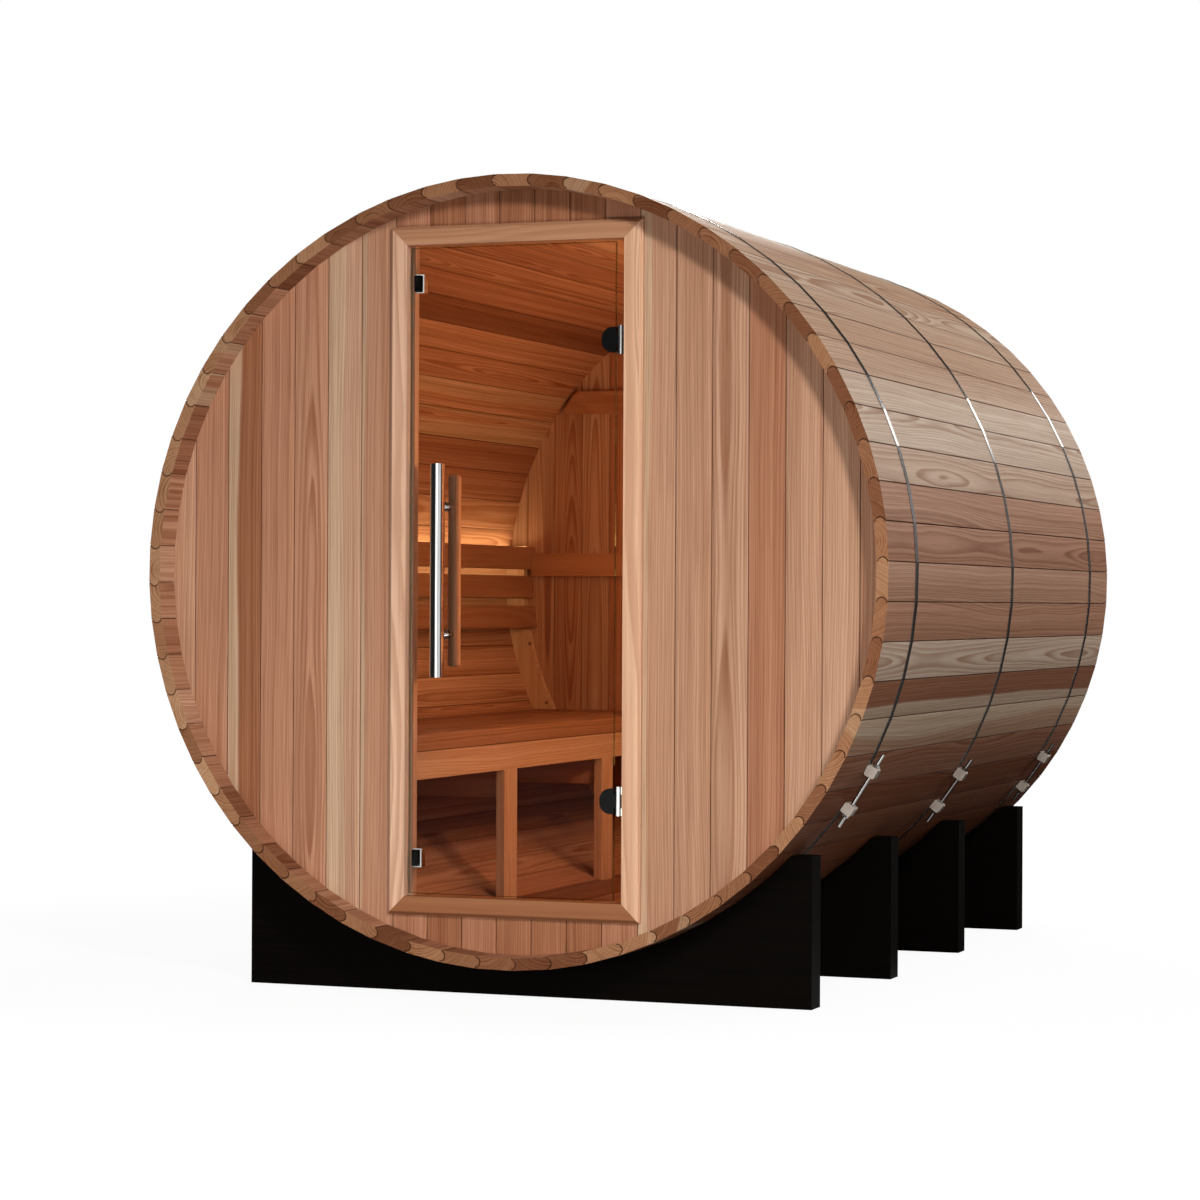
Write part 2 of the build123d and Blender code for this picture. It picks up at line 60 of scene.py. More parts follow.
# %% Sizes shared by the cells below
axis_z = 0.977
front_y = -1.15
barrel_radius = 0.906
barrel_length = 2.3
stave_count = 64
stave_thickness = 0.028
first_joint = math.radians(1.6)
pitch = 2 * math.pi / stave_count
half_thick = stave_thickness / 2
ring_middle = barrel_radius * math.cos(pitch / 2) - half_thick
joint_gap = 0.0009
bead_half, bead_rise = 0.0112, 0.0092
bead_round = (bead_half**2 + bead_rise**2) / (2 * bead_rise)
wall_radius = 0.8876
board_pitch = 0.0863


def edge_x(depth):
    return (ring_middle + depth) * math.tan(pitch / 2) - joint_gap / 2


print("stave face", round(2 * barrel_radius * math.sin(pitch / 2) * 1000, 1), "mm")

# %% [markdown]
# ## Camera
# The camera stands a little to the right of the door at the height of the barrel's axis
# and looks almost level. A long lens keeps the circle of the front wall nearly round.
# Its turn is given by its three axes, because a photograph is often rolled by a fraction
# of a degree.

# %% Camera
lens_mm, sensor_mm = 98.93, 36
camera_place = (2.8336, -8.0893, 0.9046)
yaw, tilt, roll = (math.radians(a) for a in (20.531, 0.076, 0.288))
forward = Vector((-math.sin(yaw) * math.cos(tilt), math.cos(yaw) * math.cos(tilt), math.sin(tilt)))
right = Vector((math.cos(yaw), math.sin(yaw), 0))
up = right.cross(forward)
right, up = (
    right * math.cos(roll) + up * math.sin(roll),
    up * math.cos(roll) - right * math.sin(roll),
)
camera_data = bpy.data.cameras.new("camera")
camera_data.lens = lens_mm
camera_data.sensor_width = sensor_mm
camera = bpy.data.objects.new("camera", camera_data)
scene.collection.objects.link(camera)
turn = Matrix((right, up, -forward)).transposed().to_4x4()
camera.matrix_world = Matrix.Translation(camera_place) @ turn
scene.camera = camera
scene.view_settings.view_transform = "Standard"
print("camera at", tuple(round(v, 3) for v in camera.location))

# %% [markdown]
# ## Helpers for shader nodes
# A finish is a small tree of nodes. These helpers add a node and set or link its
# inputs, so that a tree reads from top to bottom like a recipe.

# %% Node helpers
def put(tree, item, key, value):
    if isinstance(value, bpy.types.NodeSocket):
        tree.links.new(value, item.inputs[key])
    else:
        item.inputs[key].default_value = value


def add_node(tree, kind, inputs=None, **values):
    item = tree.nodes.new(kind)
    for key, value in values.items():
        setattr(item, key, value)
    for key, value in (inputs or {}).items():
        put(tree, item, key, value)
    return item


def calc(tree, operation, *values):
    item = add_node(tree, "ShaderNodeMath", operation=operation)
    for key, value in enumerate(values):
        put(tree, item, key, value)
    return item.outputs[0]


def between(tree, value, low, high, most=1.0, smooth="LINEAR"):
    item = add_node(
        tree, "ShaderNodeMapRange",
        {"Value": value, "From Min": low, "From Max": high, "To Min": 0.0, "To Max": most},
        interpolation_type=smooth,
    )
    return item.outputs[0]


def noise(tree, vector, detail=2.0, rough=0.5):
    item = add_node(
        tree, "ShaderNodeTexNoise",
        {"Vector": vector, "Scale": 1.0, "Detail": detail, "Roughness": rough},
    )
    return item.outputs["Fac"]


def mixed(tree, factor, a, b, blend="MIX"):
    item = add_node(tree, "ShaderNodeMix", data_type="RGBA", blend_type=blend)
    for key, value in ((0, factor), (6, a), (7, b)):
        put(tree, item, key, value)
    return item.outputs[2]


def ramp(tree, value, stops):
    item = add_node(tree, "ShaderNodeValToRGB", {"Fac": value})
    points = item.color_ramp.elements
    while len(points) < len(stops):
        points.new(0.5)
    for point, (place, colour) in zip(points, stops):
        point.position = place
        point.color = (*colour, 1)
    return item.outputs["Color"]


def object_place(tree):
    return add_node(tree, "ShaderNodeTexCoord").outputs["Object"]


def axes_of(tree, vector):
    return add_node(tree, "ShaderNodeSeparateXYZ", {0: vector}).outputs


def scaled(tree, vector, scale):
    return add_node(tree, "ShaderNodeVectorMath", {0: vector, 1: scale}, operation="MULTIPLY").outputs[0]


def apart(tree, a, b):
    squares = [calc(tree, "MULTIPLY", part, part) for part in (a, b)]
    return calc(tree, "SQRT", calc(tree, "ADD", *squares))


def new_finish(name):
    finish = bpy.data.materials.new(name)
    finish.use_nodes = True
    return finish, finish.node_tree, finish.node_tree.nodes["Principled BSDF"]


def dress(piece, *finishes):
    piece.data.materials.clear()
    for finish in finishes:
        piece.data.materials.append(finish)


print("node helpers ready")

# %% [markdown]
# ## Cedar grain
# A board is a slice of a tree, so its grain is a slice through growth rings. The group
# takes a place on a board, in metres across, along and into it, and measures how far it
# lies from a pith line beside the board. The line wanders slowly along the length. A board
# far from the pith shows straight lines, one close to it shows arches, and its end shows
# arcs. Outside a certain ring the wood is pale sapwood. Fibre and streaks lie on top. The
# tree input says where the board was cut: pith to the side, pith below, start of sapwood.

# %% Cedar grain group
cedar = bpy.data.node_groups.new("cedar_grain", "ShaderNodeTree")
for label, kind in (("Place", "NodeSocketVector"), ("Tree", "NodeSocketVector"), ("Tone", "NodeSocketFloat")):
    cedar.interface.new_socket(name=label, in_out="INPUT", socket_type=kind)
for label in ("Rings", "Fibre", "Streak", "Sap"):
    cedar.interface.new_socket(name=label, in_out="OUTPUT", socket_type="NodeSocketFloat")
taken, given = cedar.nodes.new("NodeGroupInput"), cedar.nodes.new("NodeGroupOutput")
tone = taken.outputs["Tone"]
across, along, deep = axes_of(cedar, taken.outputs["Place"])
pith_side, pith_below, sap_start = axes_of(cedar, taken.outputs["Tree"])


def stretched(across_scale, along_scale, deep_scale, shift):
    return add_node(
        cedar, "ShaderNodeCombineXYZ",
        {"X": calc(cedar, "MULTIPLY", across, across_scale),
         "Y": calc(cedar, "MULTIPLY", along, along_scale),
         "Z": calc(cedar, "MULTIPLY_ADD", deep, deep_scale, calc(cedar, "MULTIPLY", tone, shift))},
    ).outputs[0]


side = calc(cedar, "SUBTRACT", across, pith_side)
down = calc(cedar, "ADD", deep, pith_below)
flat = apart(cedar, side, down)
steep = calc(cedar, "DIVIDE", calc(cedar, "ABSOLUTE", side), flat)
wander = noise(cedar, stretched(3.0, 0.8, 3.0, 37.0), 1.0)
wiggle = noise(cedar, stretched(16.0, 2.6, 16.0, 53.0), 2.0)
reach = calc(cedar, "MULTIPLY_ADD", wander, 0.06, calc(cedar, "MULTIPLY_ADD", wiggle, 0.007, flat))
spacing = add_node(
    cedar, "ShaderNodeTexNoise",
    {"W": calc(cedar, "MULTIPLY_ADD", reach, 60.0, calc(cedar, "MULTIPLY", tone, 19.0)),
     "Scale": 1.0, "Detail": 1.0},
    noise_dimensions="1D",
).outputs["Fac"]
year = calc(cedar, "FRACT", calc(cedar, "MULTIPLY_ADD", reach, 165.0, calc(cedar, "MULTIPLY", spacing, 2.4)))
darkening = between(cedar, year, 0.15, 0.85, 1.0, "SMOOTHSTEP")
late = calc(cedar, "MULTIPLY", darkening, between(cedar, year, 1.0, 0.9))
rings = calc(cedar, "MULTIPLY", late, calc(cedar, "MULTIPLY_ADD", steep, -0.55, 1.0))
fibre = noise(cedar, stretched(330.0, 5.0, 330.0, 71.0), 3.0, 0.6)
streak = noise(cedar, stretched(60.0, 0.45, 60.0, 91.0), 3.0, 0.6)
sap = between(cedar, calc(cedar, "SUBTRACT", reach, sap_start), -0.003, 0.004, 1.0, "SMOOTHSTEP")
for label, value in (("Rings", rings), ("Fibre", fibre), ("Streak", streak), ("Sap", sap)):
    cedar.links.new(value, given.inputs[label])
print("cedar group nodes:", len(cedar.nodes))

# %% [markdown]
# ## Wood finishes
# The same group serves every board. A palette is a ramp from a board's tone to its
# colour: brown, rose, tan and pale boards come from one tree or another. Rings, streaks
# and fibre darken that colour by multiplying it, so a dark line keeps the board's hue.
# Dust gathers at the eased edges, which the joint value gives as the place across. On the
# ends of the staves the joint is the arc of the bead and of the hollow it sits in. The line
# value paints shade: a dark band just below a given height, for the shadow under an overhang.

# %% Wood finish maker
tone_step = 0.381
arc_soft, arc_solid = 0.0016, 0.0004
dust_fade, line_fade = 0.0007, 0.0006
# Tint for the dust at the joints and for the painted shade lines.
dust_and_shade_tint = (0.2, 0.14, 0.11, 1)


def cut_by(tree, tone_in):
    def drawn(factor, size, start):
        part = calc(tree, "FRACT", calc(tree, "MULTIPLY", tone_in, factor))
        return calc(tree, "MULTIPLY_ADD", part, size, start)

    return add_node(
        tree, "ShaderNodeCombineXYZ",
        {"X": drawn(7.31, 0.19, -0.095), "Y": drawn(13.7, 0.07, 0.016), "Z": drawn(29.3, 0.2, 0.12)},
    ).outputs[0]


def arc_line(tree, place, middle):
    split = axes_of(tree, place)
    x = calc(tree, "SUBTRACT", split["X"], middle)
    off_arc = calc(tree, "SUBTRACT", apart(tree, x, split["Z"]), bead_round)
    line = between(tree, calc(tree, "ABSOLUTE", off_arc), arc_soft, arc_solid)
    return calc(tree, "MULTIPLY", line, calc(tree, "LESS_THAN", x, 0.0))


def wood(name, palette, pale, rings=0.5, streak=0.45, fibre=0.35, sap=0.75, rough=0.5, gloss=0.03,
         grain="", boards=None, joint=0.0, dust=0.9, ends=False, line=None):
    finish, tree, shader = new_finish(name)
    if grain:
        split = axes_of(tree, object_place(tree))
        first, second = (k for k in "XYZ" if k != grain)
        key, start, step, shade = boards
        row = calc(tree, "FLOOR", calc(tree, "DIVIDE", calc(tree, "SUBTRACT", split[key], start), step))
        tone_in = calc(tree, "FRACT", calc(tree, "MULTIPLY_ADD", row, tone_step, shade))
        middle = calc(tree, "MULTIPLY_ADD", calc(tree, "ADD", row, 0.5), step, start)
        off_middle = calc(tree, "SUBTRACT", split[key], middle)
        ahead = {k: off_middle if k == key else split[k] for k in (first, second)}
        place_in = add_node(
            tree, "ShaderNodeCombineXYZ", {"X": ahead[first], "Y": split[grain], "Z": ahead[second]},
        ).outputs[0]
        tree_in = cut_by(tree, tone_in)
    else:
        place_in = add_node(tree, "ShaderNodeAttribute", attribute_name="board").outputs["Vector"]
        tree_in = add_node(tree, "ShaderNodeAttribute", attribute_name="tree").outputs["Vector"]
        tone_in = add_node(tree, "ShaderNodeAttribute", attribute_name="tone").outputs["Fac"]
    figure = tree.nodes.new("ShaderNodeGroup")
    figure.node_tree = cedar
    put(tree, figure, "Place", place_in)
    put(tree, figure, "Tree", tree_in)
    put(tree, figure, "Tone", tone_in)
    shade_in = tone_in
    if ends:
        sideways = axes_of(tree, object_place(tree))["X"]
        own = calc(tree, "FRACT", calc(tree, "MULTIPLY", tone_in, 17.3))
        left, right_side = between(tree, sideways, -0.3, -0.8, 0.45), between(tree, sideways, 0.3, 0.8, 0.15)
        shade_in = calc(tree, "MULTIPLY_ADD", own, 0.66, calc(tree, "ADD", left, right_side))
    colour = ramp(tree, shade_in, palette)
    colour = mixed(tree, calc(tree, "MULTIPLY", figure.outputs["Sap"], sap), colour, (*pale, 1))
    for mask, tint in (
        (between(tree, figure.outputs["Streak"], 0.4, 0.72, streak), (0.62, 0.5, 0.43, 1)),
        (calc(tree, "MULTIPLY", figure.outputs["Rings"], rings), (0.6, 0.46, 0.38, 1)),
        (between(tree, figure.outputs["Fibre"], 0.45, 0.8, fibre), (0.6, 0.52, 0.47, 1)),
    ):
        colour = mixed(tree, mask, colour, mixed(tree, 1.0, colour, tint, "MULTIPLY"))
    dust_and_shade_masks = []
    if joint:
        rim = calc(tree, "ABSOLUTE", axes_of(tree, place_in)["X"])
        dust_and_shade_masks.append(between(tree, rim, joint, joint + dust_fade, dust))
    if ends:
        dust_and_shade_masks += [arc_line(tree, place_in, sign * edge_x(0) + bead_round - bead_rise) for sign in (-1, 1)]
    # Painted shade: a dark band just below the given height, for the shadow under an overhang.
    if line:
        dust_and_shade_masks.append(between(tree, split[line[0]], line[1], line[1] + line_fade))
    for mask in dust_and_shade_masks:
        colour = mixed(tree, mask, colour, mixed(tree, 1.0, colour, dust_and_shade_tint, "MULTIPLY"))
    put(tree, shader, "Base Color", colour)
    put(tree, shader, "Roughness", calc(tree, "MULTIPLY_ADD", figure.outputs["Fibre"], 0.25, rough - 0.12))
    height = calc(tree, "MULTIPLY_ADD", figure.outputs["Rings"], 0.5, figure.outputs["Fibre"])
    bump = add_node(tree, "ShaderNodeBump", {"Height": height, "Strength": 0.15, "Distance": 0.0008})
    put(tree, shader, "Normal", bump.outputs[0])
    shader.inputs["Specular IOR Level"].default_value = gloss
    return finish


print("wood maker ready")

# %% [markdown]
# The outside of the staves has greyed a little. Their inside and the walls are fresh.
# The ends of the staves drink more finish than the faces, so they are browner and rougher.
# Towards both sides of the ring they pale again, most of all on the left.

# %% Finishes of the staves and the walls
shell_wood = wood(
    "weathered_staves",
    [(0.0, (0.165, 0.057, 0.026)), (0.3, (0.36, 0.185, 0.115)), (0.55, (0.43, 0.275, 0.182)),
     (0.9, (0.5, 0.385, 0.295))],
    pale=(0.52, 0.41, 0.3), rings=0.95, streak=0.45, fibre=0.45, joint=0.0427, gloss=0.02,
)
fresh_palette = [(0.0, (0.33, 0.138, 0.069)), (0.3, (0.455, 0.216, 0.127)), (0.55, (0.485, 0.265, 0.162)),
                 (0.9, (0.535, 0.33, 0.218))]
inner_palette = [(0.0, (0.24, 0.1, 0.05)), (0.3, (0.4, 0.185, 0.105)), (0.55, (0.5, 0.262, 0.155)),
                 (0.9, (0.62, 0.37, 0.24))]
fresh_pale = (0.58, 0.41, 0.27)
inner_wood = wood(
    "stave_insides", inner_palette, fresh_pale, rings=0.95, streak=0.9, fibre=0.5, joint=0.0415, dust=0.8,
)
wall_wood = wood(
    "wall_boards", fresh_palette, fresh_pale, rings=0.85, streak=0.6, fibre=0.7, joint=0.0418, dust=0.75,
)
end_wood = wood(
    "stave_ends",
    [(0.0, (0.15, 0.055, 0.024)), (0.3, (0.22, 0.092, 0.044)), (0.6, (0.34, 0.165, 0.082)),
     (1.0, (0.48, 0.28, 0.155))],
    pale=(0.45, 0.29, 0.17), rings=1.0, streak=0.3, fibre=0.5, sap=0.5, rough=0.65, ends=True,
)
print("board finishes:", [m.name for m in (shell_wood, inner_wood, wall_wood, end_wood)])

# %% [markdown]
# ## Helpers for modelling
# An operator works on everything that is selected, so each step starts with nothing
# selected. A box is a start only: its edges are eased and its ends cut afterwards.

# %% Selection and boxes
smooth_angle = math.radians(35)


def only(*objects):
    if bpy.context.mode != "OBJECT":
        bpy.ops.object.mode_set(mode="OBJECT")
    bpy.ops.object.select_all(action="DESELECT")
    for item in objects:
        item.select_set(True)
    bpy.context.view_layer.objects.active = objects[0] if objects else None


def start_box(name, low, high):
    only()
    middle = [(a + b) / 2 for a, b in zip(low, high)]
    bpy.ops.mesh.primitive_cube_add(size=1, location=middle)
    box = bpy.context.object
    box.name = name
    box.scale = [b - a for a, b in zip(low, high)]
    bpy.ops.object.transform_apply(location=True, rotation=True, scale=True)
    return box


def use_modifier(piece, kind, **values):
    only(piece)
    modifier = piece.modifiers.new(kind.lower(), kind)
    for key, value in values.items():
        setattr(modifier, key, value)
    bpy.ops.object.modifier_apply(modifier=modifier.name)


def joined(name, pieces):
    only(*pieces)
    bpy.ops.object.join()
    piece = bpy.context.object
    piece.name = name
    piece.data.name = name
    return piece


def map_board(mesh, spot):
    for name, kind in (("board", "FLOAT_VECTOR"), ("tree", "FLOAT_VECTOR"), ("tone", "FLOAT")):
        mesh.attributes.new(name, kind, "CORNER")
    places, trees, tones = [], [], []
    for face in mesh.polygons:
        (tone_here, *tree_here), place_of = spot(face.center)
        for corner in face.loop_indices:
            places.extend(place_of(mesh.vertices[mesh.loops[corner].vertex_index].co))
            trees.extend(tree_here)
            tones.append(tone_here)
    mesh.attributes["board"].data.foreach_set("vector", places)
    mesh.attributes["tree"].data.foreach_set("vector", trees)
    mesh.attributes["tone"].data.foreach_set("value", tones)


def any_cut(luck, tone_here):
    sapwood = luck.uniform(0.1, 0.16) if luck.random() < 0.25 else 1.0
    return tone_here, luck.uniform(-0.095, 0.095), luck.uniform(0.016, 0.086), sapwood


print("modelling helpers ready")

# %% [markdown]
# ## Staves
# The shell is a ring of bead-and-cove staves: a round bead on one edge sits in the hollow
# of the next board, so the ring turns the corner with no gap. A stave has one section all
# along, so its outline is laid out as a ring of points, filled, and extruded down the
# barrel. A box with a loop cut would take more steps for the same shape.

# %% Section of one stave
arris, inner_arris = 0.0021, 0.0007


def eased_corner(x_sign, z_sign, size, steps=4):
    middle_x, middle_z = edge_x(z_sign * half_thick) - size, half_thick - size
    for step in range(steps + 1):
        turn_to = math.pi / 2 * step / steps
        yield x_sign * (middle_x + size * math.sin(turn_to)), z_sign * (middle_z + size * math.cos(turn_to))


def round_edge(x_sign, steps=10):
    reach_to = math.asin(bead_half / bead_round)
    for step in range(steps + 1):
        turn_to = reach_to - 2 * reach_to * step / steps
        depth = bead_round * math.sin(turn_to)
        yield x_sign * edge_x(depth) - (bead_round * math.cos(turn_to) - bead_round + bead_rise), depth


def side_outline(x_sign):
    outer = list(eased_corner(x_sign, 1, arris))
    inner = list(eased_corner(x_sign, -1, inner_arris))
    return outer + list(round_edge(x_sign)) + inner[::-1]


section = side_outline(1) + side_outline(-1)[::-1]
print("section points:", len(section))

# %% One stave
only()
bpy.ops.mesh.primitive_circle_add(vertices=len(section), radius=0.02, fill_type="NOTHING")
stave = bpy.context.object
for vertex, (x, z) in zip(stave.data.vertices, section):
    vertex.co = (x, front_y, z)
bpy.ops.object.mode_set(mode="EDIT")
bpy.ops.mesh.select_all(action="SELECT")
bpy.ops.mesh.edge_face_add()
bpy.ops.mesh.extrude_region_move(TRANSFORM_OT_translate={"value": (0, barrel_length, 0)})
bpy.ops.mesh.select_all(action="SELECT")
bpy.ops.mesh.normals_make_consistent(inside=False)
bpy.ops.object.mode_set(mode="OBJECT")
bpy.ops.object.shade_smooth_by_angle(angle=smooth_angle)
dress(stave, shell_wood, inner_wood, end_wood)
for face in stave.data.polygons:
    face.material_index = 2 if abs(face.normal.y) > 0.9 else 0 if face.normal.z > 0.3 else 1
print("one stave has", len(stave.data.polygons), "faces")

# %% [markdown]
# Each panel of eight staves stands for one node of the solids, which keeps the shell easy
# to take apart. The letters give the order of the boards round the ring, from the right
# side upwards: brown, rose, tan and pale. The boards that the eye meets first are listed
# one by one: tone, pith to the side, pith below, start of sapwood.

# %% Copy the staves round the ring
# The pale boards high on the right and the brown run along the bottom of the ring are partly the boards' own
# colour and partly painted light and painted shade: the top is lit, the underside in shade.
board_order = "rrppprrtpttptptr" "tptrtbtptrtprttp" "trtptrbrbrtrbrbr" "tbrbbbbbbbrtbprt"
shade_of = {"b": 0.0, "r": 0.26, "t": 0.5, "p": 0.8}
# Staves 2 to 7 get pale tones and staves 54 to 58 the darkest ones, partly as painted light and painted
# shade.
chosen_cuts = {
    0: (0.27, 0.0, 0.03, 1.0), 1: (0.36, 0.07, 0.07, 1.0), 2: (0.72, 0.02, 0.05, 1.0),
    5: (0.68, -0.08, 0.05, 1.0), 6: (0.64, 0.09, 0.06, 1.0), 7: (0.72, 0.07, 0.05, 1.0),
    21: (0.34, 0.08, 0.05, 1.0), 22: (0.02, 0.09, 0.05, 1.0), 23: (0.58, -0.09, 0.06, 1.0),
    24: (0.5, 0.0, 0.04, 1.0), 25: (0.6, -0.07, 0.05, 0.115), 26: (0.46, 0.02, 0.02, 0.05),
    27: (0.2, 0.08, 0.05, 1.0), 54: (0.03, 0.07, 0.05, 1.0), 55: (0.0, -0.08, 0.05, 1.0),
    56: (0.05, 0.09, 0.06, 1.0), 57: (0.02, -0.06, 0.05, 1.0), 58: (0.16, -0.05, 0.05, 1.0),
    59: (0.5, 0.08, 0.03, 0.125), 60: (0.1, -0.09, 0.03, 0.148), 61: (0.88, 0.005, 0.018, 1.0),
    62: (0.32, -0.08, 0.06, 1.0), 63: (0.4, 0.09, 0.05, 1.0),
}
per_panel = 8
stave_seed, tone_spread, log_length, unevenness = 7919, 0.14, 6, 0.0006
panels = []
for panel in range(stave_count // per_panel):
    copies = []
    for index in range(panel * per_panel, (panel + 1) * per_panel):
        luck = random.Random(index * stave_seed + 17)
        random_cut = any_cut(luck, shade_of[board_order[index]] + luck.random() * tone_spread)
        cut_here = chosen_cuts.get(index, random_cut)
        shift = luck.random() * log_length
        copy = stave.copy()
        copy.data = stave.data.copy()
        scene.collection.objects.link(copy)
        map_board(copy.data, lambda middle: (cut_here, lambda p: (p.x, p.y + shift, p.z)))
        angle = first_joint + (index + 0.5) * pitch
        set_out = Matrix.Translation((0, 0, axis_z)) @ Matrix.Rotation(math.pi / 2 - angle, 4, "Y")
        trim = Matrix.Diagonal((1, 1 - luck.uniform(0, unevenness), 1, 1))
        lift = Matrix.Translation((0, 0, ring_middle - luck.uniform(0, unevenness)))
        copy.data.transform(set_out @ lift @ trim)
        copies.append(copy)
    shell = joined(f"stave_panel_{panel + 1}", copies)
    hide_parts(f"staves_{panel + 1}")
    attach(shell, "cabin")
    panels.append(shell)
bpy.data.objects.remove(stave)
print("stave panels:", len(panels), "of", len(panels[0].data.polygons), "faces")

# %% [markdown]
# ## End walls
# The walls are upright tongue-and-groove boards let into the staves. Each board is a box
# with eased corners, which gives the fine shadow line at each joint, and the whole row is
# cut to the round with a Boolean against a cylinder. The doorway splits the front wall
# into four pieces, as in the solids.

# %% Wall boards
half_joint, board_arris, narrowest_board = 0.0003, 0.0016, 0.004
cutter_sides, cutter_depth = 160, 0.2


def wall_boards(name, low, high):
    row = []
    first = math.floor(low.x / board_pitch + 0.5)
    last = math.ceil(high.x / board_pitch - 0.5)
    for index in range(first, last + 1):
        x0 = max(low.x, (index - 0.5) * board_pitch + half_joint)
        x1 = min(high.x, (index + 0.5) * board_pitch - half_joint)
        if x1 - x0 < narrowest_board:
            continue
        board = start_box(f"{name}_{index}", (x0, low.y, low.z), (x1, high.y, high.z))
        use_modifier(board, "BEVEL", width=board_arris, segments=3, limit_method="ANGLE")
        row.append(board)
    wall = joined(name, row)
    only()
    bpy.ops.mesh.primitive_cylinder_add(
        vertices=cutter_sides, radius=wall_radius, depth=cutter_depth,
        location=(0, (low.y + high.y) / 2, axis_z), rotation=(math.pi / 2, 0, 0),
    )
    round_cutter = bpy.context.object
    use_modifier(wall, "BOOLEAN", operation="INTERSECT", object=round_cutter, solver="EXACT")
    bpy.data.objects.remove(round_cutter)
    only(wall)
    bpy.ops.object.shade_smooth_by_angle(angle=smooth_angle)
    return wall


print("wall maker ready")

# %% [markdown]
# The front boards are listed one by one, from left to right, because the eye compares them: a
# pink pair on the left, redder short boards over and under the door, pale ones to the right.

# %% Walls in place
front_cuts = {
    -10: (0.62, 0.09, 0.05, 1.0), -9: (0.4, 0.08, 0.06, 1.0), -8: (0.0, 0.085, 0.03, 0.126),
    -7: (0.36, -0.09, 0.05, 1.0), -6: (0.4, 0.004, 0.045, 1.0), -5: (0.8, 0.07, 0.04, 0.105),
    -4: (0.48, 0.09, 0.03, 0.16), -3: (0.25, 0.09, 0.05, 1.0), -2: (0.0, -0.08, 0.06, 1.0),
    -1: (0.18, 0.06, 0.05, 1.0), 0: (0.03, -0.09, 0.05, 1.0), 1: (0.02, 0.08, 0.03, 1.0),
    2: (0.0, -0.05, 0.06, 1.0), 3: (0.22, 0.09, 0.04, 1.0), 4: (0.6, 0.085, 0.03, 0.142),
    5: (0.6, -0.09, 0.05, 1.0), 6: (0.7, -0.012, 0.05, 0.108), 7: (0.2, 0.085, 0.06, 1.0),
    8: (0.66, -0.08, 0.05, 1.0), 9: (0.74, 0.09, 0.05, 1.0), 10: (0.5, 0.06, 0.05, 1.0),
}
back_cuts = {
    -9: (0.7, 0.02, 0.05, 1.0), -8: (0.5, 0.01, 0.05, 1.0),
    -7: (0.95, 0.0, 0.06, 1.0), -6: (0.3, 0.05, 0.05, 1.0),
}
wall_seed = 104729


def board_spot(middle_y):
    at_front = middle_y < 0
    known_cuts = front_cuts if at_front else back_cuts

    def spot(middle):
        index = math.floor(middle.x / board_pitch + 0.5)
        luck = random.Random(index * wall_seed + (1 if at_front else 2))
        cut_here = known_cuts.get(index, any_cut(luck, luck.random()))
        shift = luck.random() * log_length
        return cut_here, lambda p: (p.x - index * board_pitch, p.z + shift, p.y - middle_y)

    return spot


for name in ("front_wall_left", "front_wall_right", "front_wall_header", "front_wall_sill", "back_wall"):
    low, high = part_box(name)
    wall = wall_boards(f"{name}_boards", low, high)
    map_board(wall.data, board_spot((low.y + high.y) / 2))
    dress(wall, wall_wood)
    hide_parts(name)
    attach(wall, "cabin")
    print(wall.name, len(wall.data.polygons), "faces")

# %% [markdown]
# ## Trim, bench and backrest
# These pieces keep their solids. Their grain follows the length of each piece, so there is
# one finish for each direction. The row gives where one board ends and the next begins.

# %% Finishes of the trim and the inside
trim_palette = [(0.3, (0.7, 0.437, 0.295)), (0.7, (0.69, 0.417, 0.266))]
red_palette = [(0.6, (0.315, 0.13, 0.059)), (1.0, (0.46, 0.235, 0.128))]
inside_palette = [(0.0, (0.4, 0.18, 0.09)), (0.5, (0.52, 0.26, 0.135)), (1.0, (0.45, 0.21, 0.11))]
bench_palette = [(0.0, (0.3, 0.135, 0.07)), (0.5, (0.39, 0.195, 0.105)), (1.0, (0.34, 0.16, 0.085))]
# The grip's pale palette is painted light: it stands for light on its face, which no lamp reaches through the
# glass.
grip_painted_light_palette = [(0.0, (0.6, 0.32, 0.18)), (1.0, (0.64, 0.35, 0.2))]
fascia_palette = [(0.0, (0.62, 0.4, 0.25)), (1.0, (0.68, 0.44, 0.28))]
fascia_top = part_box("bench_fascia")[1].z
shadow_line = 0.003
pieces_by_finish = {
    "trim_upright": (trim_palette, "Z", ("X", -1.0, 1.0, 0.3),
                     ("casing_left", "casing_right", "door_jamb_sides")),
    "trim_level": (red_palette, "X", ("Z", 0.0, 1.0, 0.6), ("casing_top", "casing_bottom", "door_jamb_ends")),
    "grip_wood": (grip_painted_light_palette, "Z", ("X", -1.0, 2.0, 0.5), ("handle_grip",)),
    "seat_wood": (bench_palette, "Y", ("X", -0.767, 0.09335, 0.1), ("bench_seat",)),
    "fascia_wood": (fascia_palette, "Y", ("X", -1.0, 2.0, 0.46), ("bench_fascia",)),
    "slat_wood": (bench_palette, "Y", ("Z", axis_z - 0.0661, 0.0873, 0.3), ("backrest_slats",)),
    "batten_wood": (inside_palette, "X", ("Z", axis_z - 0.2, 0.45, 0.7),
                    ("back_wall_battens", "bench_bearers")),
    # On the backrest supports this pale palette is partly painted light, standing for light on their faces.
    "leg_wood": (fascia_palette, "Z", ("Y", -0.7, 0.7, 0.35), ("bench_legs", "backrest_supports")),
}
for name, (palette, grain, boards, pieces) in pieces_by_finish.items():
    # Painted shadow: a dark line along the top of the fascia, under the seat's edge.
    line = ("Z", fascia_top - shadow_line) if name == "fascia_wood" else None
    finish = wood(name, palette, fresh_pale, rings=0.6, sap=0.0, grain=grain, boards=boards, line=line)
    for piece in pieces:
        dress(nodes[piece], finish)
print("dressed:", list(pieces_by_finish))

# %% [markdown]
# ## Cradles
# The cradles are stained black. Seen close up the grain still shows in the sheen, so the
# colour stays almost even and the roughness and a slight bump carry the grain.

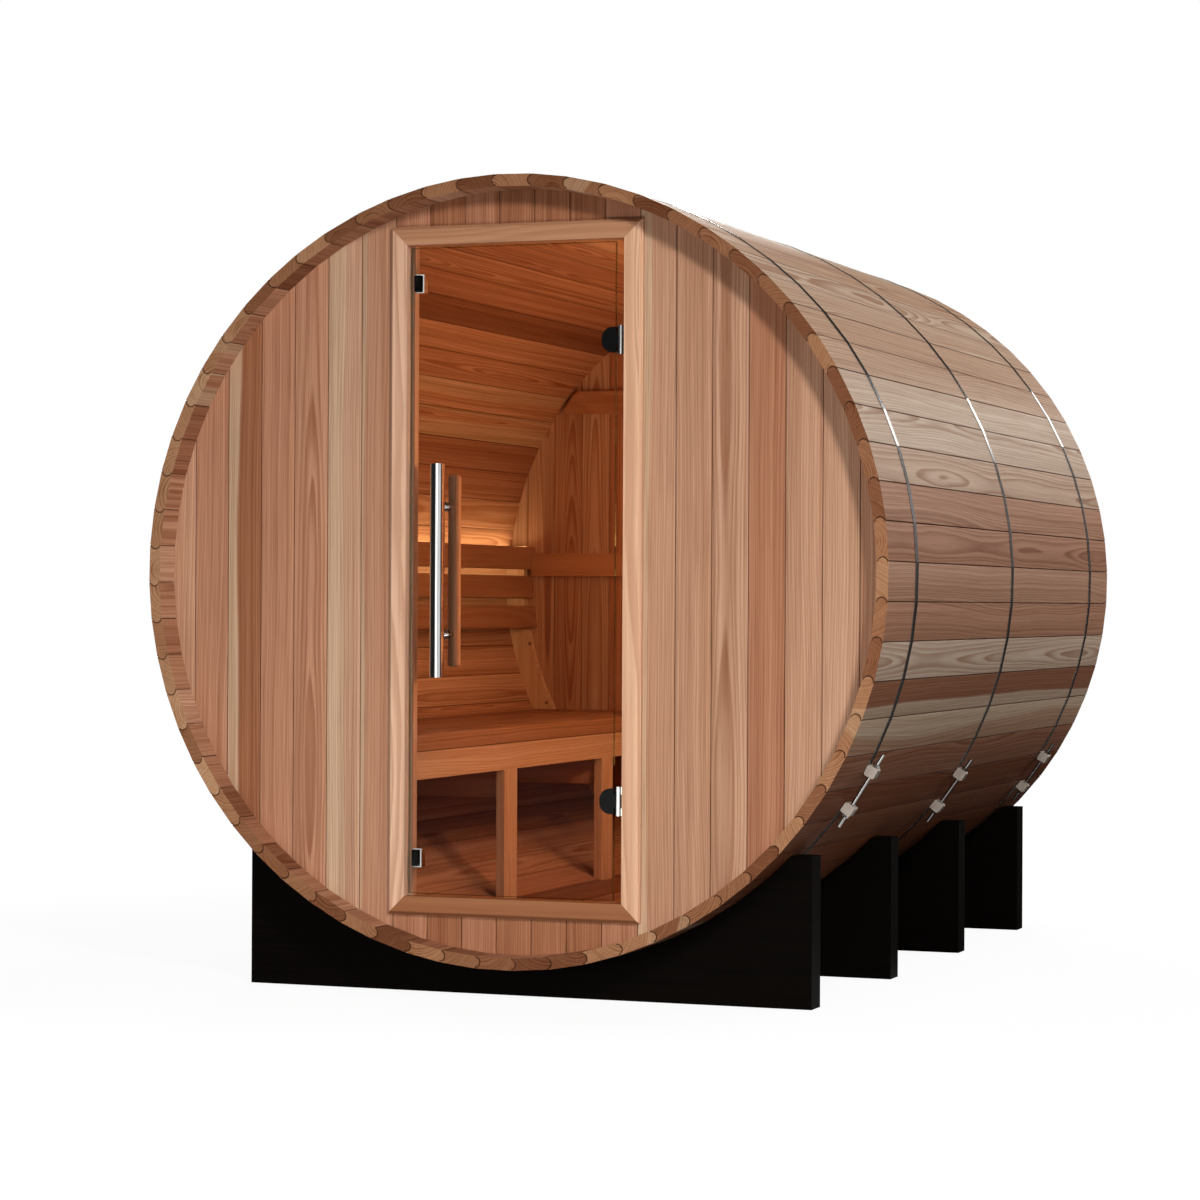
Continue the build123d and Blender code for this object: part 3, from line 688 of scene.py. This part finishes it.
# %% Black stain
stain, tree, shader = new_finish("black_stain")
fibres = noise(tree, scaled(tree, object_place(tree), (3.0, 120.0, 120.0)), 4.0)
stain_palette = [(0.3, (0.0011, 0.0007, 0.0005)), (0.7, (0.0024, 0.0015, 0.001))]
put(tree, shader, "Base Color", ramp(tree, fibres, stain_palette))
put(tree, shader, "Roughness", calc(tree, "MULTIPLY_ADD", fibres, 0.3, 0.45))
bump = add_node(tree, "ShaderNodeBump", {"Height": fibres, "Strength": 0.2, "Distance": 0.001})
put(tree, shader, "Normal", bump.outputs[0])
shader.inputs["Specular IOR Level"].default_value = 0.015
for number in range(1, 5):
    dress(nodes[f"cradle_{number}"], stain)
print("cradles stained")

# %% [markdown]
# ## Metal
# The bands are stainless strip and the handle is polished. The hinges and the rods of the
# tensioners are a little duller, and the tensioner blocks are matt. Brushing is noise
# stretched along the metal that varies the colour and the roughness.

# %% Metal finishes
def metal(name, colour, rough, scale, metallic=1.0):
    finish, tree, shader = new_finish(name)
    mark = noise(tree, scaled(tree, object_place(tree), scale), 3.0)
    worn = tuple(c * 0.8 for c in colour)
    put(tree, shader, "Base Color", ramp(tree, mark, [(0.3, worn), (0.7, colour)]))
    put(tree, shader, "Roughness", calc(tree, "MULTIPLY_ADD", mark, rough, rough / 2))
    shader.inputs["Metallic"].default_value = metallic
    return finish


band_steel = metal("band_steel", (0.28, 0.262, 0.245), 0.22, (8.0, 900.0, 8.0))
bright_steel = metal("bright_steel", (0.62, 0.61, 0.6), 0.06, (300.0, 300.0, 12.0))
hinge_steel = metal("hinge_steel", (0.34, 0.33, 0.32), 0.14, (300.0, 300.0, 12.0))
fitting_steel = metal("fitting_steel", (0.39, 0.33, 0.28), 0.5, (40.0, 900.0, 40.0))
black_metal = metal("black_fitting", (0.003, 0.003, 0.003), 0.4, (300.0, 300.0, 300.0), 0.0)
black_metal.node_tree.nodes["Principled BSDF"].inputs["Specular IOR Level"].default_value = 0.05
for finish, pieces in (
    (band_steel, ("bands",)),
    (fitting_steel, ("tensioner_blocks",)),
    (bright_steel, ("handle_tube", "handle_standoffs", "door_catches")),
    (hinge_steel, ("hinge_knuckles", "hinge_brackets", "tensioner_rods")),
    (black_metal, ("hinge_clamps", "strike_plates")),
):
    for piece in pieces:
        dress(nodes[piece], finish)
print("metal dressed")

# %% [markdown]
# ## Screws
# Two screws hold each support of the backrest. One head is turned from a short cylinder:
# the rim is eased, and the top is inset and pushed in for the driver. The other heads are
# copies, turned about for the support at the other end.

# %% Screw heads
only()
head_radius, head_height, head_arris = 0.0046, 0.002, 0.0006
rim_width, recess_depth = 0.0016, 0.0012
bpy.ops.mesh.primitive_cylinder_add(vertices=24, radius=head_radius, depth=head_height)
head = bpy.context.object
use_modifier(head, "BEVEL", width=head_arris, segments=3, limit_method="ANGLE")
only(head)
for face in head.data.polygons:
    face.select = face.normal.z > 0.99
bpy.ops.object.mode_set(mode="EDIT")
bpy.ops.mesh.inset(thickness=rim_width)
bpy.ops.mesh.extrude_region_move(TRANSFORM_OT_translate={"value": (0, 0, -recess_depth)})
bpy.ops.object.mode_set(mode="OBJECT")
bpy.ops.object.shade_smooth_by_angle(angle=smooth_angle)
dress(head, black_metal)
support_low, support_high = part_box("backrest_supports")
support_thickness = 0.028
screw_places = ((-0.8009, 0.7866), (-0.7463, 0.6123))
heads = []
for wall_side, face_y in ((1, support_high.y - support_thickness), (-1, support_low.y + support_thickness)):
    for x, z in screw_places:
        copy = head.copy()
        copy.data = head.data.copy()
        scene.collection.objects.link(copy)
        outward = Matrix.Rotation(wall_side * math.pi / 2, 4, "X")
        copy.data.transform(Matrix.Translation((x, face_y, z)) @ outward)
        heads.append(copy)
bpy.data.objects.remove(head)
screws = joined("support_screws", heads)
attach(screws, "cabin")
print("screws:", len(heads), "heads", len(screws.data.polygons), "faces")

# %% [markdown]
# ## Glass and the light strip
# The leaf is clear toughened glass, wiped but never quite even, and green at its cut edges.
# The strip behind the backrest is a warm lamp: its emission is part of its finish, a little
# paler at each diode.

# %% Glass and light
glass, tree, shader = new_finish("door_glass")
wiped = noise(tree, scaled(tree, object_place(tree), (9.0, 9.0, 4.0)))
clear = ramp(tree, wiped, [(0.35, (0.975, 0.975, 0.97)), (0.7, (0.955, 0.957, 0.952))])
leaf_low, leaf_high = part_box("door_glass")
split = axes_of(tree, object_place(tree))
edge_depth = 0.0012
cut_edge = 0.0
for key, low, high in (("X", leaf_low.x, leaf_high.x), ("Z", leaf_low.z, leaf_high.z)):
    gone = calc(tree, "ABSOLUTE", calc(tree, "SUBTRACT", split[key], (low + high) / 2))
    at_edge = calc(tree, "GREATER_THAN", gone, (high - low) / 2 - edge_depth)
    cut_edge = calc(tree, "MAXIMUM", at_edge, cut_edge)
put(tree, shader, "Base Color", mixed(tree, cut_edge, clear, (0.3, 0.5, 0.42, 1)))
shader.inputs["Roughness"].default_value = 0.0
shader.inputs["Transmission Weight"].default_value = 1.0
shader.inputs["IOR"].default_value = 1.06
dress(nodes["door_glass"], glass)

glow, tree, shader = new_finish("warm_strip")
shader.inputs["Base Color"].default_value = (0.9, 0.75, 0.5, 1)
diode_spacing = 0.0083
diode_palette = [(0.0, (1.0, 0.84, 0.47)), (0.9, (1.0, 0.75, 0.38))]
from_diode = calc(tree, "PINGPONG", axes_of(tree, object_place(tree))["Y"], diode_spacing)
share = calc(tree, "DIVIDE", from_diode, diode_spacing)
put(tree, shader, "Emission Color", ramp(tree, share, diode_palette))
shader.inputs["Emission Strength"].default_value = 16.0
dress(nodes["light_strip"], glow)
print("glass and strip dressed")

# %% [markdown]
# ## Stage and light
# The floor and the sky read as white to the camera and in reflections, while they throw
# only a little light back, so that the underside of the barrel stays deep. The floor glows
# fully only away from the barrel, so the horizon is white and the shadow stays.

# %% Floor and world
def seen_directly(tree):
    path = add_node(tree, "ShaderNodeLightPath").outputs
    shown = calc(tree, "MAXIMUM", path["Is Camera Ray"], path["Is Glossy Ray"])
    shown = calc(tree, "MAXIMUM", shown, path["Is Transmission Ray"])
    return calc(tree, "MULTIPLY", shown, calc(tree, "LESS_THAN", path["Diffuse Depth"], 0.5))


only()
floor_size, floor_drop = 80, 0.0005
bpy.ops.mesh.primitive_plane_add(size=floor_size, location=(0, 0, -floor_drop))
floor = bpy.context.object
floor.name = "studio_floor"
pale_floor, tree, shader = new_finish("studio_floor")
shader.inputs["Base Color"].default_value = (0.08, 0.08, 0.08, 1)
shader.inputs["Roughness"].default_value = 0.9
shader.inputs["Specular IOR Level"].default_value = 0.0
shader.inputs["Emission Color"].default_value = (1, 1, 1, 1)
away = add_node(tree, "ShaderNodeVectorMath", {0: object_place(tree)}, operation="LENGTH").outputs["Value"]
white = calc(tree, "ADD", between(tree, away, 2.0, 6.0, 0.08), 0.92)
put(tree, shader, "Emission Strength", calc(tree, "MULTIPLY", seen_directly(tree), white))
dress(floor, pale_floor)

world = bpy.data.worlds.new("studio")
scene.world = world
world.use_nodes = True
tree = world.node_tree
sky = tree.nodes["Background"]
put(tree, sky, "Color", mixed(tree, seen_directly(tree), (0.06, 0.06, 0.062, 1), (1, 1, 1, 1)))
sky.inputs["Strength"].default_value = 1.0
print("stage set")

# %% [markdown]
# Polished steel shows only what stands round it. Black flags, which only reflections see,
# give the tube its dark stripes and keep the bands dark from the front. The last one lies
# on the floor behind the barrel.

# %% Black flags
door_plane = -1.1
black_cloth, tree, shader = new_finish("black_cloth")
shader.inputs["Base Color"].default_value = (0.04, 0.04, 0.04, 1)
shader.inputs["Specular IOR Level"].default_value = 0.0
for name, azimuth, width, height, distance in (
    ("left_flag", -82, 6.4, 2.4, 7.0), ("front_flag", -34, 6.0, 2.4, 7.0), ("right_flag", 88, 3.4, 6.0, 7.0),
    ("rear_flag", 160, 9.0, 9.0, 7.0), ("floor_flag", 160, 5.0, 7.0, 4.6),
):
    only()
    turn_to = math.radians(azimuth)
    laid = name == "floor_flag"
    bpy.ops.mesh.primitive_plane_add(
        size=1, rotation=(0 if laid else math.pi / 2, 0, turn_to),
        location=(
            distance * math.sin(turn_to),
            door_plane - distance * math.cos(turn_to),
            0.001 if laid else height / 2,
        ),
    )
    flag = bpy.context.object
    flag.name = name
    flag.scale = (width, height, 1)
    dress(flag, black_cloth)
    flag.visible_camera = flag.visible_diffuse = flag.visible_shadow = flag.visible_transmission = False
print("flags set")

# %% [markdown]
# The key lamp stands high on the right, so the front ring throws its shadow on the wall.
# A low lamp stands for light off the ground, which fades towards the top of the wall. The
# strip lamp leans so that each band shows one bright place at the same height. Two lamps on
# the far side show the left side and the back at the same level, and two small warm ones
# light the inside.

# %% Lamps
def lamp(name, place, aim, size, energy, lean=0.0):
    data = bpy.data.lights.new(name, "AREA")
    data.shape = "RECTANGLE"
    data.size, data.size_y = size
    data.energy = energy
    light = bpy.data.objects.new(name, data)
    scene.collection.objects.link(light)
    light.location = place
    aimed = (Vector(aim) - Vector(place)).to_track_quat("-Z", "Y").to_matrix()
    light.rotation_euler = (aimed @ Matrix.Rotation(lean, 3, "Z")).to_euler()
    light.visible_camera = False
    light.visible_transmission = False


def cabin_lamp(name, place, energy, radius):
    data = bpy.data.lights.new(name, "POINT")
    data.energy = energy
    data.color = (1.0, 0.6, 0.29)
    data.shadow_soft_size = radius
    light = bpy.data.objects.new(name, data)
    scene.collection.objects.link(light)
    light.location = place
    light.visible_camera = False
    light.visible_glossy = False
    light.visible_transmission = False


lamp("front_lamp", (4.4, -6.2, 4.1), (0, -1.0, 0.9), (0.9, 1.2), 415)
lamp("fill_lamp", (1.2, -7.5, 1.2), (0, -1.0, 0.9), (1.5, 1.5), 36)
lamp("bounce_lamp", (0.1, -2.9, 0.3), (0, -1.08, 0.8), (3.0, 0.5), 26)
lamp("top_lamp", (2.6, 1.0, 5.2), (0.3, 0.3, 0.9), (2.5, 4.5), 115)
lamp("side_lamp", (4.2, 5.0, 2.6), (0.6, 0.5, 1.0), (2.0, 2.0), 145)
lamp("left_lamp", (-6.0, 1.0, 3.2), (-0.6, 0.0, 1.0), (2.0, 2.0), 180)
lamp("rear_lamp", (-2.5, 7.0, 3.4), (0.0, 1.05, 0.9), (2.0, 2.0), 200)
lamp("strip_lamp", (1.42, 5.1, 2.55), (0.8, 0.0, 1.4), (1.1, 0.5), 8.5, math.radians(-29))
cabin_lamp("cabin_lamp", (0.55, -0.72, axis_z + 0.08), 16, 0.04)
cabin_lamp("back_lamp", (0.35, 0.3, axis_z + 0.2), 14, 0.25)
